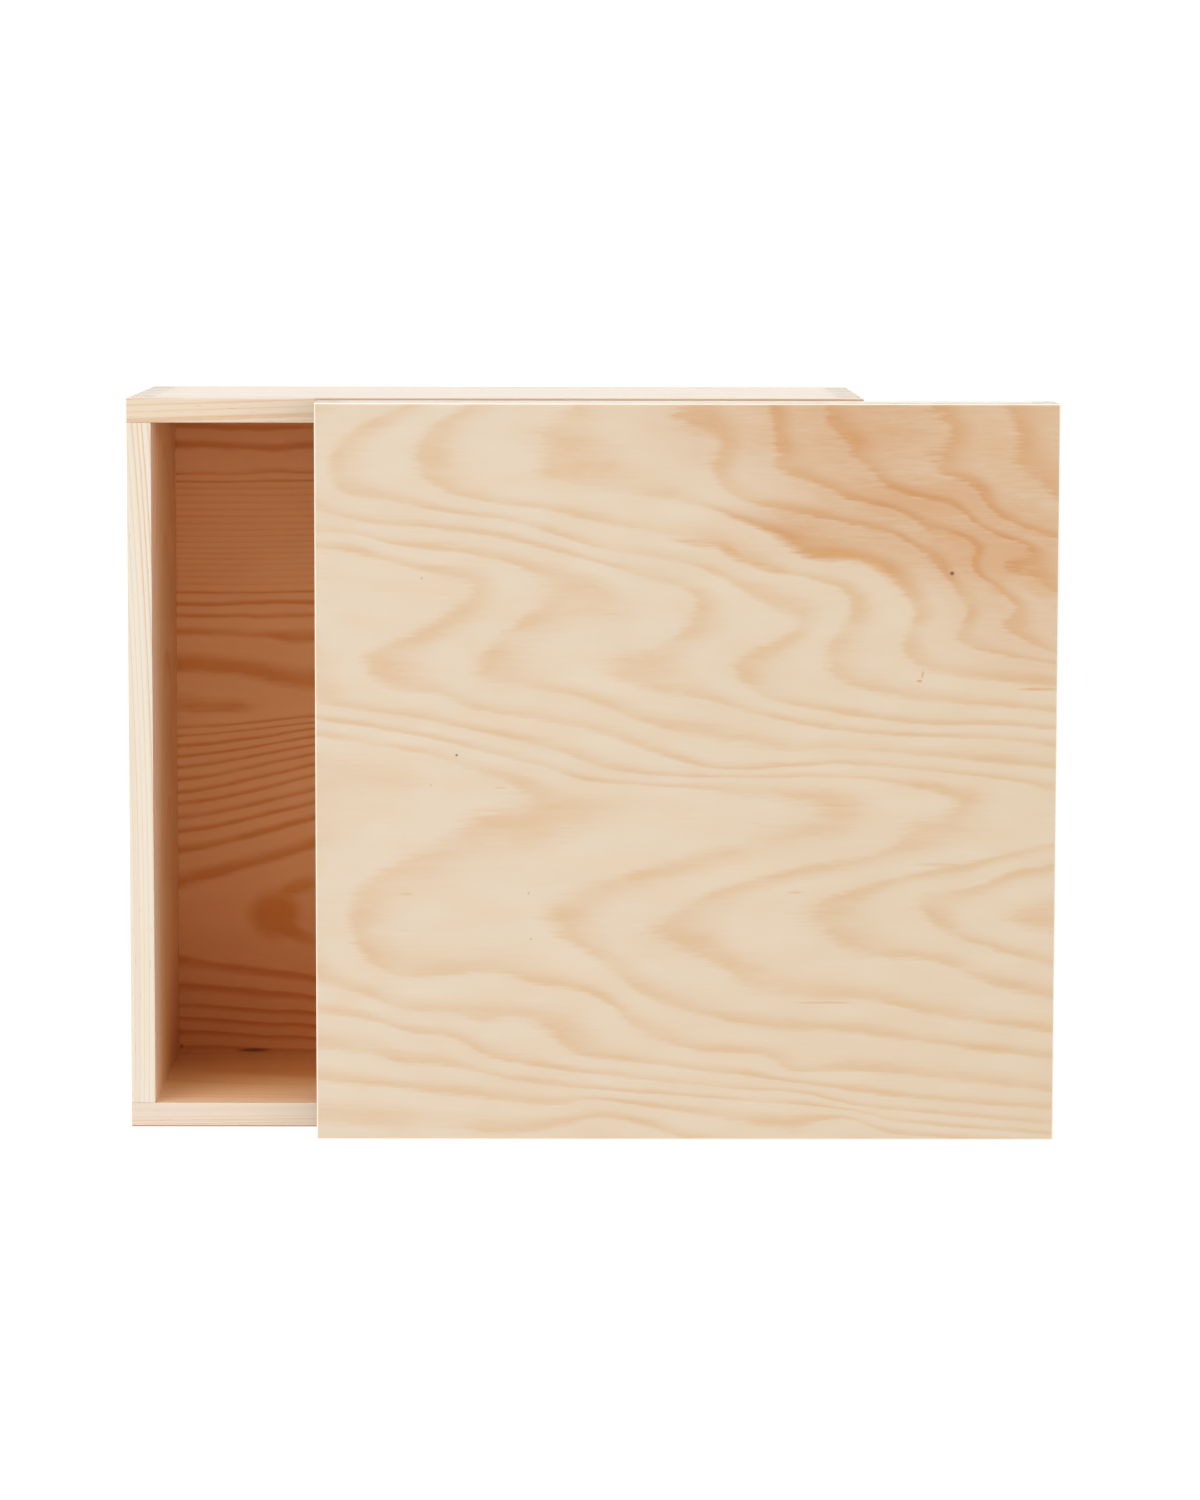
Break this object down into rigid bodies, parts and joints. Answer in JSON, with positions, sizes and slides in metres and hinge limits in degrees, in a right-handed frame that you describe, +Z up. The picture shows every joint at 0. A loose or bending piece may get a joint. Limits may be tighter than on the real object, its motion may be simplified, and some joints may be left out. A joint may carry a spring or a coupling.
{
  "type": "sliding lid box",
  "caption": "Square deep wooden box standing on one side, with a full-face lid that slides sideways on guide strips inside the box.",
  "frame": {"origin": "centre of the face the box stands on, the outside of the lower side board", "axes": "+X the way the lid slides open, +Y into the box away from the lid, +Z up"},
  "size_m": [0.3772, 0.171, 0.3],
  "materials": {
    "pine_board": "untreated solid pine, planed and sanded, matt",
    "back_plywood": "untreated pine-faced plywood, sanded, matt",
    "lid_plywood": "untreated pine-faced plywood, sanded, matt",
    "pine_rail": "untreated solid pine, planed and sanded, matt",
    "pine_strip": "untreated solid pine, planed, matt",
    "steel": "bright drawn steel brads"
  },
  "bodies": {
    "box": {"side_board_upper": "pine_board", "side_board_lower": "pine_board", "end_board_left": "pine_board", "end_board_right": "pine_board", "back_panel": "back_plywood"},
    "lid": {"lid_panel": "lid_plywood", "lid_rail_upper": "pine_rail", "lid_rail_lower": "pine_rail", "lid_end_rail_left": "pine_rail", "lid_end_rail_right": "pine_rail", "guide_strip_upper": "pine_strip", "guide_strip_lower": "pine_strip", "closing_strip": "pine_strip", "guide_strip_brads": "steel"}
  },
  "joints": [
    {"name": "lid_slide", "type": "slide", "parent": "box", "child": "lid", "axis": [1, 0, 0], "range_m": [-0.0775, 0.1925]}
  ]
}
